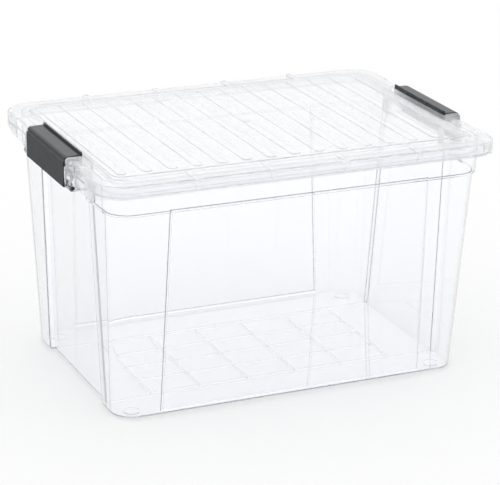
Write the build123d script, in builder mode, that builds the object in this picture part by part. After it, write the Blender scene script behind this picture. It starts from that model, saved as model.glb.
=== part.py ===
from build123d import *
import os
from math import hypot, radians, tan

# A large clear storage tote. The tub rests on four round feet, the lid sits on the tub's rim, and a
# latch at each end turns on a pin held by the tub's lugs. The length runs along X, the width along Y.
# The origin is in the middle of the base, at the level of the feet. All sizes are in millimetres.

# Tub walls
base_length = 512.8
base_width = 337.0
rim_height = 339.7
collar_height = 45.7
wall = 2.2
floor_thickness = 2.4
end_draft = 2.55
side_draft = 3.67
corner_radius = 31.0
base_edge_round = 3.0
shoulder_step = 3.5
collar_draft = 2.6

# Recess in each end wall, narrower towards the top
recess_depth = 7.0
recess_base_width = 208.0
recess_taper = 2.18
recess_round = 3.0

# Shallow panel in each long wall, narrower towards the top
panel_depth = 3.0
panel_base_width = 385.2
panel_taper = 1.05
base_band = 8.5

# Feet and the ribs under the floor
foot_diameter = 22.0
foot_height = 1.6
foot_setback_x = 28.5
foot_setback_y = 25.0
floor_rib_width = 1.8
floor_rib_height = 1.4
cross_rib_width = 2.6
cross_rib_taper = 32.0
floor_bay_x = 72.7
length_bay_count = 5
floor_bay_y = 47.9
width_bay_count = 4

# Flange round the tub, and the lip that hangs from it at each end
flange_reach = 12.5
flange_drop = 12.2
flange_thickness = 2.2
flange_corner_radius = 37.0
lip_width = 330.0
lip_depth = 16.0
lip_thickness = 2.2
latch_notch_depth = 8.0
lip_corner_round = 4.0
notch_clearance = 1.0
flange_edge_round = 0.7
floor_round = 0.7

# Lid
lid_thickness = 2.2
lid_seat_gap = 0.3
skirt_clearance = 1.1
skirt_thickness = 2.0
skirt_height = 17.1
lid_edge_round = 3.0
lid_inner_round = 1.0
end_setback = 4.5
end_opening = 276.0
end_edge_depth = 5.5
apron_drop = 10.6
apron_reach = 62.0
rim_band_x = 27.0
rim_band_y = 33.6
panel_rise = 2.8
panel_corner_radius = 14.0
panel_slope = 45.0
panel_edge_round = 2.0
panel_crease_round = 0.6
rib_width = 15.0
rib_pitch = 35.3
rib_height = 1.1
rib_end_gap = 9.0
rib_edge_round = 0.6
lug_width = 7.0
lug_rise = 1.2
lug_proud = 2.2
lug_lift = 2.5
lug_round = 0.5
lug_pitch = 107.5
lug_count = 4
ring_clearance = 1.6
ring_thickness = 1.8
ring_depth = 8.0
catch_gap = 1.2
catch_side_gap = 1.0
catch_wall = 2.0
catch_round = 4.0
cheek_thickness = 4.0
cheek_inset = 0.5
gate_diameter = 9.0
gate_height = 0.7

# Latches and their hinge pins
latch_length = 149.0
latch_plate_thickness = 2.8
latch_plate_outset = 9.3
latch_shoulder_drop = 6.2
latch_shoulder_inset = 2.0
latch_clearance = 3.0
latch_arm_thickness = 2.5
latch_corner_round = 5.0
latch_reach = 16.0
latch_lip_thickness = 2.2
latch_lip_rise = 3.0
latch_lip_round = 2.0
latch_arm_rise = 1.2
latch_tail = 3.0
latch_hook_depth = 0.8
latch_rib_thickness = 2.0
latch_rib_pitch = 20.0
latch_rib_count = 7
latch_rib_gap = 1.0
latch_rib_drop = 1.7
barrel_radius = 4.9
pin_radius = 3.0
pin_length = 188.0
pin_chamfer = 0.6
pin_outset = 2.7
pin_drop = 18.0
pin_clearance = 0.05
lug_bore_clearance = 0.04
hinge_lug_gap = 1.0
hinge_lug_thickness = 17.0
hinge_lug_radius = 4.8
post_thickness = 6.5
post_inset = 0.8
post_height = 16.0
post_clearance = 0.7
post_round = 1.5

edge_round = 0.5
edge_reach = 0.2
cut_margin = 5.0


os.makedirs("parts", exist_ok=True)


def half_length(z):
    return base_length / 2 + z * tan(radians(end_draft))


def half_width(z):
    return base_width / 2 + z * tan(radians(side_draft))


def collar_half_length(z):
    growth = (z - shoulder_height) * tan(radians(collar_draft))
    return half_length(shoulder_height) + shoulder_step + growth


def collar_half_width(z):
    growth = (z - shoulder_height) * tan(radians(collar_draft))
    return half_width(shoulder_height) + shoulder_step + growth


def recess_half_width(z):
    return recess_base_width / 2 - z * tan(radians(recess_taper))


def panel_half_length(z):
    return panel_base_width / 2 - z * tan(radians(panel_taper))


# Places that follow from the sizes above
shoulder_height = rim_height - collar_height
flange_top = rim_height - flange_drop
floor_top = foot_height + floor_thickness
rim_x = collar_half_length(rim_height)
rim_y = collar_half_width(rim_height)
flange_x = rim_x + flange_reach
flange_y = rim_y + flange_reach
flange_bottom = flange_top - flange_thickness

lid_x = flange_x + skirt_clearance + skirt_thickness
lid_y = flange_y + skirt_clearance + skirt_thickness
lid_corner_radius = flange_corner_radius + skirt_clearance + skirt_thickness
lid_under = rim_height + lid_seat_gap
lid_top = lid_under + lid_thickness
skirt_bottom = lid_top - skirt_height
lid_end_x = lid_x - end_setback
panel_x = lid_x - rim_band_x
panel_y = lid_y - rim_band_y
panel_top = lid_top + panel_rise
slope_inset = lid_thickness * tan(radians(panel_slope / 2))
hollow_x = panel_x - slope_inset
hollow_y = panel_y - slope_inset
ribs_per_half = int((panel_x - rib_width) / rib_pitch)

pin_x = flange_x + pin_outset
pin_z = flange_top - pin_drop
plate_outer = flange_x + latch_plate_outset
plate_inner = plate_outer - latch_plate_thickness
arm_under = lid_top + latch_clearance
arm_top = arm_under + latch_arm_thickness
shoulder_z = arm_top - latch_shoulder_drop
arm_outer = plate_outer - latch_shoulder_inset
arm_inner = arm_outer - latch_arm_thickness
latch_inner = lid_end_x - latch_reach
hinge_lug_start = latch_length / 2 + hinge_lug_gap
edge_bottom = lid_top - end_edge_depth
catch_top = arm_under - catch_gap
catch_x = arm_inner - catch_side_gap
cheek_start = hinge_lug_start
cheek_x = arm_outer - cheek_inset
post_x = plate_outer - post_inset
post_top = edge_bottom - post_clearance
lip_outer = latch_inner + latch_lip_thickness
hook_bottom = arm_under + latch_arm_rise - latch_hook_depth
rib_face_x = flange_x + latch_rib_gap

ring_x = half_length(rim_height) - recess_depth - wall - ring_clearance
ring_y = rim_y - wall - ring_clearance
ring_radius = corner_radius + shoulder_step - wall - ring_clearance


def outline_edges(part, z, half_x, half_y, radius):
    """Edges of a part that lie on a rounded rectangle at height z."""

    def on_outline(edge):
        place = edge.center()
        along = max(abs(place.X) - half_x + radius, 0)
        across = max(abs(place.Y) - half_y + radius, 0)
        return abs(place.Z - z) < edge_reach and abs(hypot(along, across) - radius) < edge_reach

    return part.edges().filter_by(on_outline)


def tub_plan(z, inset, half_x, half_y, radius):
    """Outline of the tub at height z, inset from its outer surface, with both end recesses cut in."""
    recess_floor = half_length(z) - recess_depth - inset
    mouth = half_x - inset - recess_floor
    slot_edge = recess_half_width(z) + inset
    with BuildSketch(Plane.XY.offset(z)) as plan:
        RectangleRounded(2 * (half_x - inset), 2 * (half_y - inset), radius - inset)
        with Locations((recess_floor + mouth, 0), (-recess_floor - mouth, 0)):
            Rectangle(2 * mouth, 2 * slot_edge, mode=Mode.SUBTRACT)
        corners = plan.vertices().filter_by(lambda v: abs(abs(v.Y) - slot_edge) < edge_round)
        outer_corners = corners.filter_by(lambda v: abs(v.X) > recess_floor + mouth / 2)
        inner_corners = corners.filter_by(lambda v: abs(v.X) < recess_floor + mouth / 2)
        fillet(outer_corners, max(recess_round - inset, recess_round / 4))
        fillet(inner_corners, recess_round + inset / 2)
    return plan.sketch


def wall_plan(z, inset):
    return tub_plan(z, inset, half_length(z), half_width(z), corner_radius)


def collar_plan(z, inset):
    radius = corner_radius + shoulder_step
    return tub_plan(z, inset, collar_half_length(z), collar_half_width(z), radius)


def side_panel(inset, low, high):
    """Block that fills the shallow panels of both long walls, inset from the panel's outer surface."""
    with BuildPart() as block:
        for z in (low, high):
            back = half_width(z) - panel_depth - inset
            with BuildSketch(Plane.XY.offset(z)):
                with Locations((0, back + shoulder_step + panel_depth)):
                    Rectangle(2 * (panel_half_length(z) + inset), 2 * (shoulder_step + panel_depth))
        loft(ruled=True)
        mirror(about=Plane.XZ)
    return block.part


# The hollow of the tub, from the floor to the open rim
with BuildPart() as lower_hollow:
    for z in (floor_top, shoulder_height + wall):
        add(wall_plan(z, wall))
    loft(ruled=True)
    fillet(lower_hollow.faces().sort_by(Axis.Z)[0].edges(), floor_round)
    add(side_panel(wall, base_band - wall, shoulder_height + wall), mode=Mode.SUBTRACT)

with BuildPart() as collar_hollow:
    for z in (shoulder_height + wall, rim_height + cut_margin):
        add(collar_plan(z, wall))
    loft(ruled=True)

# The lip at the right-hand end, notched where the latch folds down over it
with BuildPart() as end_lip:
    with BuildSketch(Plane.YZ.offset(flange_x - lip_thickness)) as lip_outline:
        with Locations((0, flange_top - lip_depth / 2)):
            Rectangle(lip_width, lip_depth)
        with Locations((0, flange_top - lip_depth)):
            notch_width = latch_length + 2 * notch_clearance
            Rectangle(notch_width, 2 * (lip_depth - latch_notch_depth), mode=Mode.SUBTRACT)
        low_corners = lip_outline.vertices().filter_by(lambda v: v.Y < flange_top - edge_round)
        fillet(low_corners, lip_corner_round)
    extrude(amount=lip_thickness)

# The two lugs there that hold the hinge pin, from the end wall out to the pin
lug_root_x = half_length(pin_z) - recess_depth - wall / 2
lug_width_x = pin_x - lug_root_x
with BuildPart() as hinge_lugs:
    for side in (1, -1):
        with BuildSketch(Plane.XZ.offset(-side * hinge_lug_start)):
            with Locations((pin_x, pin_z)):
                Circle(hinge_lug_radius)
            with Locations((lug_root_x + lug_width_x / 2, pin_z)):
                Rectangle(lug_width_x, 2 * hinge_lug_radius)
            with Locations(((lug_root_x + flange_x) / 2, flange_bottom - hinge_lug_radius / 2)):
                Rectangle(flange_x - lug_root_x, hinge_lug_radius)
            make_hull()
            with Locations((pin_x, pin_z)):
                Circle(pin_radius + lug_bore_clearance, mode=Mode.SUBTRACT)
        extrude(amount=-side * hinge_lug_thickness)
        # the post beside the latch's end, from the pin up to the lid's edge
        with BuildSketch(Plane.XZ.offset(-side * hinge_lug_start)) as post_profile:
            with BuildLine():
                Polyline(
                    (flange_x - hinge_lug_radius, pin_z),
                    (pin_x + hinge_lug_radius, pin_z),
                    (post_x, post_top - post_height),
                    (post_x, post_top),
                    (flange_x - hinge_lug_radius, post_top),
                    close=True,
                )
            make_face()
            outer_corners = post_profile.vertices().filter_by(lambda v: v.X > post_x - edge_round)
            fillet(outer_corners, post_round)
            with Locations((pin_x, pin_z)):
                Circle(pin_radius + lug_bore_clearance, mode=Mode.SUBTRACT)
        extrude(amount=-side * post_thickness)

with BuildPart() as tub:
    for z in (foot_height, shoulder_height):
        add(wall_plan(z, 0))
    loft(ruled=True)
    fillet(tub.faces().sort_by(Axis.Z)[0].edges(), base_edge_round)
    add(side_panel(0, base_band, shoulder_height), mode=Mode.SUBTRACT)
    for z in (shoulder_height, rim_height):
        add(collar_plan(z, 0))
    loft(ruled=True)
    with BuildSketch(Plane.XY.offset(flange_bottom)):
        RectangleRounded(2 * flange_x, 2 * flange_y, flange_corner_radius)
    extrude(amount=flange_thickness)
    fillet(outline_edges(tub, flange_top, flange_x, flange_y, flange_corner_radius), flange_edge_round)
    add(lower_hollow.part, mode=Mode.SUBTRACT)
    add(collar_hollow.part, mode=Mode.SUBTRACT)
    for fitting in (end_lip, hinge_lugs):
        add(fitting.part)
        add(fitting.part.mirror(Plane.YZ))
    # ribs under the floor: a grid of bays, and two long ribs from one end recess to the other
    grid_x = floor_bay_x * length_bay_count + cross_rib_width
    grid_y = floor_bay_y * width_bay_count + floor_rib_width
    with BuildSketch(Plane.XY.offset(foot_height)):
        with GridLocations(floor_bay_x, 0, length_bay_count + 1, 1):
            Rectangle(cross_rib_width, grid_y)
    extrude(amount=-floor_rib_height, taper=cross_rib_taper)
    with BuildSketch(Plane.XY.offset(foot_height)):
        with GridLocations(0, floor_bay_y, 1, width_bay_count + 1):
            Rectangle(grid_x, floor_rib_width)
        with GridLocations(0, recess_base_width, 1, 2):
            Rectangle(2 * (half_length(0) - recess_depth), floor_rib_width)
    extrude(amount=-floor_rib_height)
    with BuildSketch():
        with GridLocations(base_length - 2 * foot_setback_x, base_width - 2 * foot_setback_y, 2, 2):
            Circle(foot_diameter / 2)
    extrude(amount=foot_height)

# The hollow under the lid: inside the skirt, and under the raised panel
with BuildPart() as lid_hollow:
    hollow_depth = apron_drop + cut_margin
    with BuildSketch(Plane.XY.offset(skirt_bottom - hollow_depth)):
        hollow_radius = lid_corner_radius - skirt_thickness
        RectangleRounded(2 * (lid_x - skirt_thickness), 2 * (lid_y - skirt_thickness), hollow_radius)
    extrude(amount=lid_under - skirt_bottom + hollow_depth)
    fillet(lid_hollow.faces().sort_by(Axis.Z)[-1].edges(), lid_inner_round)
    with BuildSketch(Plane.XY.offset(lid_under)):
        RectangleRounded(2 * hollow_x, 2 * hollow_y, panel_corner_radius)
    extrude(amount=panel_rise, taper=panel_slope)
    fillet(lid_hollow.faces().sort_by(Axis.Z)[-1].edges(), panel_crease_round)
    fillet(outline_edges(lid_hollow, lid_under, hollow_x, hollow_y, panel_corner_radius), panel_edge_round)
    with BuildSketch(Plane.XY.offset(lid_under + panel_rise)):
        with GridLocations(rib_pitch, 0, 2 * ribs_per_half + 1, 1):
            groove_length = 2 * (panel_y - rib_end_gap - slope_inset)
            SlotOverall(groove_length, rib_width - 2 * slope_inset, rotation=90)
    extrude(amount=rib_height, taper=panel_slope)

# Ribs across the panel, and rim lugs along both long sides
with BuildPart() as lid_ribs:
    with BuildSketch(Plane.XY.offset(panel_top)):
        with GridLocations(rib_pitch, 0, 2 * ribs_per_half + 1, 1):
            SlotOverall(2 * (panel_y - rib_end_gap), rib_width, rotation=90)
    extrude(amount=rib_height, taper=panel_slope)
    fillet(lid_ribs.faces().filter_by(Plane.XY).group_by(Axis.Z)[-1].edges(), rib_edge_round)

with BuildPart() as lid_lugs:
    with BuildSketch(Plane.XY.offset(skirt_bottom + lug_lift)):
        with GridLocations(lug_pitch, 0, lug_count, 1):
            Rectangle(lug_width, 2 * (lid_y + lug_proud))
            Rectangle(lug_width, 2 * hollow_y, mode=Mode.SUBTRACT)
    extrude(amount=skirt_height - lug_lift + lug_rise)
    lug_end_y = lid_y + lug_proud
    lug_ends = lid_lugs.faces().filter_by(lambda f: abs(abs(f.center().Y) - lug_end_y) < edge_round)
    lug_foot = skirt_bottom + lug_lift + edge_round
    fillet(lug_ends.edges().filter_by(lambda e: e.center().Z > lug_foot), lug_round)
    add(lid_hollow.part, mode=Mode.SUBTRACT)

# The skirt hangs lower round each corner, deepest where it stops at the end opening
with BuildPart() as corner_aprons:
    with BuildSketch(Plane.XY.offset(skirt_bottom)):
        RectangleRounded(2 * lid_x, 2 * lid_y, lid_corner_radius)
    extrude(amount=-apron_drop)
    add(lid_hollow.part, mode=Mode.SUBTRACT)
    with BuildSketch(Plane.YZ):
        for side in (1, -1):
            with BuildLine():
                Polyline(
                    (side * end_opening / 2, skirt_bottom),
                    (side * end_opening / 2, skirt_bottom - apron_drop),
                    (side * (end_opening / 2 + apron_reach), skirt_bottom),
                    close=True,
                )
            make_face()
    extrude(amount=lid_x, both=True, mode=Mode.INTERSECT)

# The catch under the right-hand latch: a block that fills the closed latch, with a cheek at each end
with BuildPart() as lid_catch:
    with BuildSketch(Plane.XZ) as catch_profile:
        with Locations(((lip_outer + catch_x) / 2, (edge_bottom + catch_top) / 2)):
            Rectangle(catch_x - lip_outer, catch_top - edge_bottom)
        catch_corners = catch_profile.vertices().group_by(Axis.Y)[-1]
        fillet(catch_corners.sort_by(Axis.X)[-1], catch_round)
        fillet(catch_corners.sort_by(Axis.X)[0], edge_round)
    extrude(amount=cheek_start + cheek_thickness / 2, both=True)
    for side in (1, -1):
        with BuildSketch(Plane.XZ.offset(-side * cheek_start)) as cheek_profile:
            cheek_top = arm_top - cheek_inset
            with Locations(((lip_outer + cheek_x) / 2, (edge_bottom + cheek_top) / 2)):
                Rectangle(cheek_x - lip_outer, cheek_top - edge_bottom)
            cheek_corners = cheek_profile.vertices().group_by(Axis.Y)[-1]
            fillet(cheek_corners.sort_by(Axis.X)[-1], latch_corner_round)
            fillet(cheek_corners.sort_by(Axis.X)[0], catch_wall)
        extrude(amount=-side * cheek_thickness)

with BuildPart() as lid:
    with BuildSketch(Plane.XY.offset(skirt_bottom)):
        RectangleRounded(2 * lid_x, 2 * lid_y, lid_corner_radius)
    extrude(amount=skirt_height)
    fillet(lid.faces().sort_by(Axis.Z)[-1].edges(), lid_edge_round)
    with BuildSketch(Plane.XY.offset(lid_top)):
        RectangleRounded(2 * panel_x, 2 * panel_y, panel_corner_radius)
    extrude(amount=panel_rise, taper=panel_slope)
    fillet(lid.faces().sort_by(Axis.Z)[-1].edges(), panel_edge_round)
    fillet(outline_edges(lid, lid_top, panel_x, panel_y, panel_corner_radius), panel_crease_round)
    add(lid_hollow.part, mode=Mode.SUBTRACT)
    # the skirt stops short of each end, where the rim keeps only a thin edge
    with Locations((lid_x, 0, lid_top), (-lid_x, 0, lid_top)):
        Box(2 * end_setback, end_opening, 3 * skirt_height, mode=Mode.SUBTRACT)
    edge_x = lid_end_x - skirt_thickness / 2
    with Locations((edge_x, 0, lid_top), (-edge_x, 0, lid_top)):
        edge_align = (Align.CENTER, Align.CENTER, Align.MAX)
        Box(skirt_thickness, end_opening, end_edge_depth, align=edge_align)
    add(corner_aprons.part)
    add(lid_ribs.part)
    add(lid_lugs.part)
    add(lid_catch.part)
    add(lid_catch.part.mirror(Plane.YZ))
    pocket_width = 2 * (cheek_start + cheek_thickness - catch_wall)
    pocket_length = catch_x - lip_outer - 2 * catch_wall
    pocket_x = catch_x - catch_wall - pocket_length / 2
    with Locations((pocket_x, 0, catch_top - catch_wall), (-pocket_x, 0, catch_top - catch_wall)):
        pocket_align = (Align.CENTER, Align.CENTER, Align.MAX)
        Box(pocket_length, pocket_width, skirt_height, align=pocket_align, mode=Mode.SUBTRACT)
    with BuildSketch(Plane.XY.offset(panel_top - lid_thickness - gate_height)):
        Circle(gate_diameter / 2)
    extrude(amount=rib_height + gate_height)
    # the ring that drops inside the tub's rim
    with BuildSketch(Plane.XY.offset(lid_under - ring_depth)):
        RectangleRounded(2 * ring_x, 2 * ring_y, ring_radius)
        offset(amount=-ring_thickness, mode=Mode.SUBTRACT)
    extrude(amount=ring_depth)
lid.part.label = "lid"

# The right-hand latch, and its mirror image at the left-hand end
with BuildPart() as latch_right:
    with BuildSketch(Plane.XZ) as latch_profile:
        with BuildLine():
            Polyline(
                (plate_inner, shoulder_z - latch_arm_thickness),
                (arm_inner, shoulder_z - latch_arm_thickness + latch_shoulder_inset),
                (arm_inner, arm_under),
                (lip_outer, arm_under + latch_arm_rise),
                (lip_outer, hook_bottom),
                (latch_inner, hook_bottom),
                (latch_inner, arm_top + latch_arm_rise + latch_lip_rise),
                (lip_outer, arm_top + latch_arm_rise + latch_lip_rise),
                (lip_outer, arm_top + latch_arm_rise),
                (arm_outer, arm_top),
                (arm_outer, shoulder_z + latch_shoulder_inset / 2),
                (plate_outer, shoulder_z),
                (plate_outer, pin_z - latch_tail),
                (plate_inner, pin_z - latch_tail),
                close=True,
            )
        make_face()
        corners = latch_profile.vertices()
        outer_corner = corners.sort_by_distance((arm_outer, arm_top))[0]
        inner_corner = corners.sort_by_distance((arm_inner, arm_under))[0]
        lip_corner = corners.sort_by_distance((lip_outer, arm_top + latch_arm_rise))[0]
        round_corners = (outer_corner, inner_corner, lip_corner)
        sharp_corners = corners.filter_by(lambda v: v not in round_corners)
        fillet(outer_corner, latch_corner_round)
        fillet(lip_corner, latch_lip_round)
        fillet(inner_corner, latch_corner_round - latch_arm_thickness)
        fillet(sharp_corners, edge_round)
        with Locations((pin_x, pin_z)):
            Circle(barrel_radius)
        with Locations(((pin_x + plate_outer) / 2, pin_z + (barrel_radius - latch_tail) / 2)):
            Rectangle(plate_outer - pin_x - edge_round, barrel_radius + latch_tail - edge_round)
        with Locations((pin_x, pin_z)):
            Circle(pin_radius + pin_clearance, mode=Mode.SUBTRACT)
    extrude(amount=latch_length / 2, both=True)
    # stiffening ribs inside the plate
    with BuildSketch(Plane.XY.offset(pin_z + barrel_radius)):
        with Locations(((rib_face_x + plate_outer) / 2 - edge_round, 0)):
            with GridLocations(0, latch_rib_pitch, 1, latch_rib_count):
                Rectangle(plate_outer - rib_face_x - 2 * edge_round, latch_rib_thickness)
    extrude(amount=edge_bottom - latch_rib_drop - pin_z - barrel_radius)
latch_right.part.label = "latch_right"

with BuildPart() as latch_left:
    add(latch_right.part.mirror(Plane.YZ))
latch_left.part.label = "latch_left"

with BuildPart() as hinge_pin_right:
    with Locations((pin_x, 0, pin_z)):
        Cylinder(pin_radius, pin_length, rotation=(90, 0, 0))
    chamfer(hinge_pin_right.edges().filter_by(GeomType.CIRCLE), pin_chamfer)
hinge_pin_right.part.label = "hinge_pin_right"

with BuildPart() as hinge_pin_left:
    add(hinge_pin_right.part.mirror(Plane.YZ))
hinge_pin_left.part.label = "hinge_pin_left"

export_step(tub.part, "parts/tub.step")
export_step(lid.part, "parts/lid.step")
export_step(latch_left.part, "parts/latch_left.step")
export_step(latch_right.part, "parts/latch_right.step")
export_step(hinge_pin_left.part, "parts/hinge_pin_left.step")
export_step(hinge_pin_right.part, "parts/hinge_pin_right.step")
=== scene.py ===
import bpy
from math import cos, sin, radians
from mathutils import Matrix, Vector

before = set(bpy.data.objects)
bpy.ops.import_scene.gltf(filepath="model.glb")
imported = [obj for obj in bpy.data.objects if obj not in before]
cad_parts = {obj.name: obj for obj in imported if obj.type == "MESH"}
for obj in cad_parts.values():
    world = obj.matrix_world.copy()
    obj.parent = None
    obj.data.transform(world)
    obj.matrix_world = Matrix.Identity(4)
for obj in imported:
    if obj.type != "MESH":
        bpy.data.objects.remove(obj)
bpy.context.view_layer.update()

scene = bpy.context.scene


# ---------------------------------------------------------------- camera
AZIMUTH, ELEVATION, ROLL = -24.31, 19.55, 0.95  # degrees
DISTANCE = 3.2295
TARGET = (0.0081, 0.0, 0.16495)
LENS = 163.9  # mm, on a 36 mm sensor


def look_from(azimuth, elevation, roll, distance, target, lens):
    az, el, ro = radians(azimuth), radians(elevation), radians(roll)
    back = Vector((sin(az) * cos(el), -cos(az) * cos(el), sin(el)))
    right = Vector((cos(az), sin(az), 0.0))
    up = back.cross(right)
    turned_right = right * cos(ro) + up * sin(ro)
    turned_up = up * cos(ro) - right * sin(ro)
    turn = Matrix((turned_right, turned_up, back)).transposed().to_4x4()
    data = bpy.data.cameras.new("camera")
    data.lens = lens
    data.sensor_width = 36.0
    data.clip_end = 50.0
    camera = bpy.data.objects.new("camera", data)
    camera.matrix_world = Matrix.Translation(Vector(target) + back * distance) @ turn
    scene.collection.objects.link(camera)
    scene.camera = camera


look_from(AZIMUTH, ELEVATION, ROLL, DISTANCE, TARGET, LENS)


# ---------------------------------------------------------------- node helpers
def join(tree, value, socket):
    """Set a socket to a plain value, or link it to another node's output."""
    if isinstance(value, (int, float, tuple)):
        socket.default_value = value
    else:
        tree.links.new(value, socket)


def math_node(tree, operation, *values):
    node = tree.nodes.new("ShaderNodeMath")
    node.operation = operation
    for i, value in enumerate(values):
        join(tree, value, node.inputs[i])
    return node.outputs[0]


def blend(tree, factor, low, high, start=0.0, end=1.0):
    """From low to high as factor goes from start to end."""
    node = tree.nodes.new("ShaderNodeMapRange")
    node.inputs["From Min"].default_value = start
    node.inputs["From Max"].default_value = end
    for socket, value in (("Value", factor), ("To Min", low), ("To Max", high)):
        join(tree, value, node.inputs[socket])
    return node.outputs[0]


def position(tree, kind="Object"):
    """The X, Y and Z of a texture coordinate, as the outputs of one node."""
    coord = tree.nodes.new("ShaderNodeTexCoord")
    split = tree.nodes.new("ShaderNodeSeparateXYZ")
    tree.links.new(coord.outputs[kind], split.inputs[0])
    return split.outputs


def noise(tree, scale, detail):
    coord = tree.nodes.new("ShaderNodeTexCoord")
    node = tree.nodes.new("ShaderNodeTexNoise")
    node.inputs["Scale"].default_value = scale
    node.inputs["Detail"].default_value = detail
    tree.links.new(coord.outputs["Object"], node.inputs["Vector"])
    return node.outputs["Fac"]


def bump(tree, height, strength, distance, under=None):
    node = tree.nodes.new("ShaderNodeBump")
    node.inputs["Strength"].default_value = strength
    node.inputs["Distance"].default_value = distance
    tree.links.new(height, node.inputs["Height"])
    if under:
        tree.links.new(under, node.inputs["Normal"])
    return node.outputs["Normal"]


# ---------------------------------------------------------------- world
# Seen directly, and as diffuse light, the surroundings are white at a strength of 1.
HORIZON = 0.5    # strength of their lowest part, seen in a surface or through one
OVERHEAD = 1.5   # strength of the part at HIGH, seen so
HIGH = 0.36      # height of that part, as the Z of its direction
MIRRORED = 0.91  # what each reflection leaves of the light
DEEPEST = 4.0    # reflections after this many take nothing more
FACING = 0.7     # strength that lights the floor seen in the first outer reflection

world = bpy.data.worlds.new("studio")
scene.world = world
world.use_nodes = True
tree = world.node_tree
tree.nodes.clear()
output = tree.nodes.new("ShaderNodeOutputWorld")
background = tree.nodes.new("ShaderNodeBackground")
background.inputs["Color"].default_value = (1, 1, 1, 1)
path = tree.nodes.new("ShaderNodeLightPath")
reflections = math_node(tree, "MINIMUM", path.outputs["Glossy Depth"], DEEPEST)
reflected = math_node(tree, "MINIMUM", reflections, 1.0)
inside = math_node(tree, "MINIMUM", path.outputs["Transmission Depth"], 1.0)
bent = math_node(tree, "MAXIMUM", reflected, inside)
scattered = math_node(tree, "MINIMUM", path.outputs["Diffuse Depth"], 1.0)
height = math_node(tree, "DIVIDE", position(tree, "Generated")["Z"], HIGH)
sky = blend(tree, bent, 1.0, blend(tree, height, HORIZON, OVERHEAD))
ground = blend(tree, reflected, 1.0, blend(tree, inside, FACING, 1.0))
left = math_node(tree, "POWER", MIRRORED, reflections)
level = math_node(tree, "MULTIPLY", blend(tree, scattered, sky, ground), left)
tree.links.new(level, background.inputs["Strength"])
tree.links.new(background.outputs[0], output.inputs["Surface"])


# ---------------------------------------------------------------- materials
PLASTIC_IOR = 1.49
UNEVEN = (0.4, 1.6)     # how the roughness varies over a clear piece, times its own
MATT = 0.27             # roughness of the lugs, posts and cheeks beside each latch
MATT_X = (0.272, 0.276) # where they begin along X, from none to all, in m
MATT_Y = (0.103, 0.100) # and where they end along Y
ARM_Z = (0.341, 0.347)  # heights between which a latch's plate turns into its arm, in m
COARSER = 0.24          # how much rougher the plate is than the arm
WORN = 0.06             # how far a latch's roughness varies either way


def new_material(name, shader):
    """A material with one shader on its surface."""
    material = bpy.data.materials.new(name)
    material.use_nodes = True
    tree = material.node_tree
    tree.nodes.clear()
    output = tree.nodes.new("ShaderNodeOutputMaterial")
    surface = tree.nodes.new(shader)
    tree.links.new(surface.outputs[0], output.inputs["Surface"])
    return material, tree, surface.inputs, output.inputs


def beside_latch(tree):
    """1 on the lugs, posts and cheeks beside a latch, and 0 elsewhere."""
    place = position(tree)
    along = blend(tree, math_node(tree, "ABSOLUTE", place["X"]), 0.0, 1.0, *MATT_X)
    across = blend(tree, math_node(tree, "ABSOLUTE", place["Y"]), 0.0, 1.0, *MATT_Y)
    return math_node(tree, "MULTIPLY", along, across)


def clear_plastic(name, clear, roughness, scatter, forward, absorb):
    material, tree, surface, output = new_material(name, "ShaderNodeBsdfPrincipled")
    surface["Base Color"].default_value = (0.985, 0.99, 1, 1)
    surface["Transmission Weight"].default_value = clear
    surface["IOR"].default_value = PLASTIC_IOR
    # slow waves and fine unevenness of the moulded surface
    smooth = blend(tree, noise(tree, 14.0, 3.0), *(roughness * share for share in UNEVEN))
    join(tree, blend(tree, beside_latch(tree), smooth, MATT), surface["Roughness"])
    waves = bump(tree, noise(tree, 9.0, 1.0), 0.12, 0.0006)
    join(tree, bump(tree, noise(tree, 260.0, 2.0), 0.05, 0.00005, waves), surface["Normal"])
    # a slight grey tint and haze in its thickness
    absorption = tree.nodes.new("ShaderNodeVolumeAbsorption")
    absorption.inputs["Color"].default_value = (0.80, 0.82, 0.84, 1)
    absorption.inputs["Density"].default_value = absorb
    haze = tree.nodes.new("ShaderNodeVolumeScatter")
    haze.inputs["Color"].default_value = (1, 1, 1, 1)
    haze.inputs["Density"].default_value = scatter
    haze.inputs["Anisotropy"].default_value = forward
    both = tree.nodes.new("ShaderNodeAddShader")
    tree.links.new(absorption.outputs[0], both.inputs[0])
    tree.links.new(haze.outputs[0], both.inputs[1])
    tree.links.new(both.outputs[0], output["Volume"])
    return material


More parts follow.
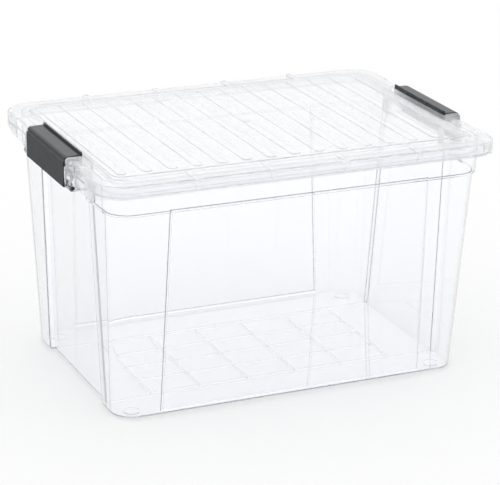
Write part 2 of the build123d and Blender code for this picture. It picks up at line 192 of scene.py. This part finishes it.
def dark_plastic(name, shade, paler, roughness, grain):
    material, tree, surface, _ = new_material(name, "ShaderNodeBsdfPrincipled")
    mix = tree.nodes.new("ShaderNodeMix")
    mix.data_type = "RGBA"
    mix.inputs["A"].default_value = (*shade, 1)
    mix.inputs["B"].default_value = (*paler, 1)
    join(tree, noise(tree, 30.0, 5.0), mix.inputs["Factor"])
    join(tree, mix.outputs["Result"], surface["Base Color"])
    surface["Specular IOR Level"].default_value = 0.27
    # the upright plate has a coarser finish than the arm above it
    finish = blend(tree, position(tree)["Z"], roughness + COARSER, roughness, *ARM_Z)
    wear = blend(tree, noise(tree, 55.0, 3.0), -WORN, WORN)
    join(tree, math_node(tree, "ADD", finish, wear), surface["Roughness"])
    join(tree, bump(tree, noise(tree, grain, 3.0), 0.35, 0.00012), surface["Normal"])
    return material


tub_clear = clear_plastic(
    "tub_clear", clear=1.0, roughness=0.02, scatter=4.0, forward=0.3, absorb=9.0
)
lid_clear = clear_plastic(
    "lid_clear", clear=0.93, roughness=0.06, scatter=150.0, forward=0.45, absorb=0.6
)
latch_dark = dark_plastic(
    "latch_plastic", (0.008, 0.011, 0.014), (0.014, 0.018, 0.023), roughness=0.2, grain=1500.0
)
pin_dark = dark_plastic(
    "pin_plastic", (0.02, 0.023, 0.026), (0.028, 0.031, 0.035), roughness=0.35, grain=1100.0
)
looks = {
    "tub": tub_clear,
    "lid": lid_clear,
    "latch_left": latch_dark,
    "latch_right": latch_dark,
    "hinge_pin_left": pin_dark,
    "hinge_pin_right": pin_dark,
}
for name, look in looks.items():
    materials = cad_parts[name].data.materials
    materials.clear()
    materials.append(look)


# ---------------------------------------------------------------- floor
FLOOR_HALF = 30.0  # half of its side, in m
FLOOR_Z = -0.0003  # just under the feet, so that no faces lie in one plane

mesh = bpy.data.meshes.new("floor")
corners = [(x * FLOOR_HALF, y * FLOOR_HALF, 0) for x, y in ((-1, -1), (1, -1), (1, 1), (-1, 1))]
mesh.from_pydata(corners, [], [(0, 1, 2, 3)])
floor_white, _, surface, _ = new_material("floor", "ShaderNodeBsdfDiffuse")
surface["Color"].default_value = (1, 1, 1, 1)
mesh.materials.append(floor_white)
floor = bpy.data.objects.new("floor", mesh)
floor.location.z = FLOOR_Z
scene.collection.objects.link(floor)


# ---------------------------------------------------------------- light paths
BOUNCES = 96  # enough for a ray along the inside of a clear wall
scene.cycles.blur_glossy = 0.0
scene.cycles.max_bounces = BOUNCES
scene.cycles.transmission_bounces = BOUNCES
scene.cycles.transparent_max_bounces = BOUNCES
scene.cycles.glossy_bounces = BOUNCES
scene.cycles.diffuse_bounces = 3
scene.cycles.volume_bounces = 8
scene.view_settings.view_transform = "Standard"
